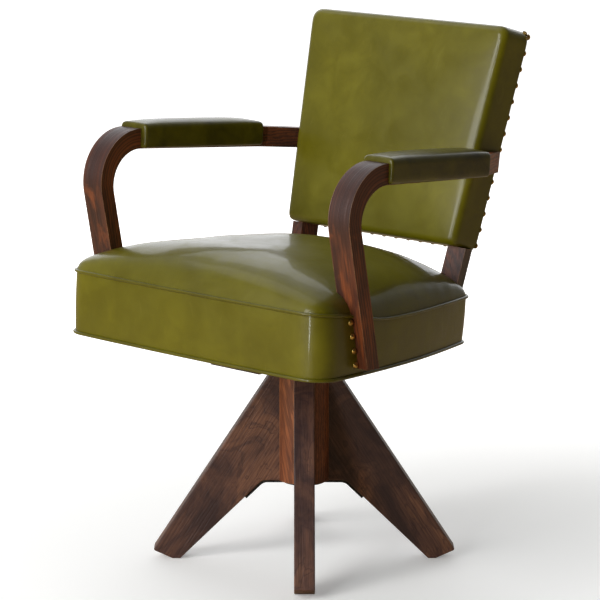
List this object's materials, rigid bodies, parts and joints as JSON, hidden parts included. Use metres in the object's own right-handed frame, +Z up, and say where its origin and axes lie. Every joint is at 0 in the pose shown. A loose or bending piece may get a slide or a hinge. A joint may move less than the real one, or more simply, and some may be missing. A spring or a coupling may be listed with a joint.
{
  "type": "swivel armchair",
  "caption": "Swivel office armchair with a crossed-board wooden base, screw height adjustment, leather seat, padded bent arms and a leaning leather back.",
  "frame": {"origin": "on the swivel axis at floor level, the underside of the feet", "axes": "+Z up along the swivel axis; the seat faces -Y; +X is to the right as seen from the front, which is the side of the sitter's left hand; right and left in names are as seen from the front"},
  "size_m": [0.576, 0.5672, 0.8437],
  "materials": {
    "stained_wood": "dark red-brown stain and wax, worn on the edges",
    "frame_wood": "plain sawn beech",
    "black_iron": "black",
    "steel": "plain",
    "brass": "antique",
    "green_leather": "glossy olive green",
    "webbing": "black cloth",
    "stuffing": "hair and felt"
  },
  "bodies": {
    "base": {"column": "stained_wood", "leg_front": "stained_wood", "leg_right": "stained_wood", "leg_rear": "stained_wood", "leg_left": "stained_wood", "cross_strap": "black_iron", "cross_strap_screws": "steel", "socket_tube": "steel", "bearing_plate": "black_iron", "bearing_plate_screws": "steel", "thrust_washer": "brass"},
    "turning_sleeve": {"turning_sleeve": "steel"},
    "adjusting_nut": {"adjusting_nut": "black_iron"},
    "seat": {"arm_post_screws": "steel", "arm_rear_screws": "steel", "back_cover": "green_leather", "back_nails_bottom": "brass", "back_nails_left": "brass", "back_nails_right": "brass", "back_nails_top": "brass", "back_rail_bottom": "frame_wood", "back_rail_middle": "frame_wood", "back_rail_top": "frame_wood", "back_rear_panel": "green_leather", "back_stuffing": "stuffing", "cross_bearer_front": "frame_wood", "cross_bearer_rear": "frame_wood", "dust_cover": "webbing", "left_arm": "stained_wood", "left_arm_pad": "green_leather", "left_seat_nails": "brass", "left_stile": "stained_wood", "mounting_board": "frame_wood", "right_arm": "stained_wood", "right_arm_pad": "green_leather", "right_seat_nails": "brass", "right_stile": "stained_wood", "seat_bottom_piping": "green_leather", "seat_cover": "green_leather", "seat_iron": "black_iron", "seat_iron_bolts": "steel", "seat_rail_front": "frame_wood", "seat_rail_left": "frame_wood", "seat_rail_rear": "frame_wood", "seat_rail_right": "frame_wood", "seat_stuffing": "stuffing", "seat_top_piping": "green_leather", "seat_webbing": "webbing", "spindle": "steel"}
  },
  "joints": [
    {"name": "seat_swivel", "type": "hinge", "parent": "base", "child": "turning_sleeve", "pos_m": [0, 0, 0.3], "axis": [0, 0, 1], "continuous": true},
    {"name": "height_adjust", "type": "slide", "parent": "turning_sleeve", "child": "seat", "axis": [0, 0, 1], "range_m": [0, 0.07]},
    {"name": "nut_turn", "type": "hinge", "parent": "turning_sleeve", "child": "adjusting_nut", "pos_m": [0, 0, 0.315], "axis": [0, 0, -1], "range_deg": [0, 6300]}
  ],
  "couplings": [
    {"joint": "nut_turn", "follows": "height_adjust", "rad_per_m": 1570.8}
  ]
}
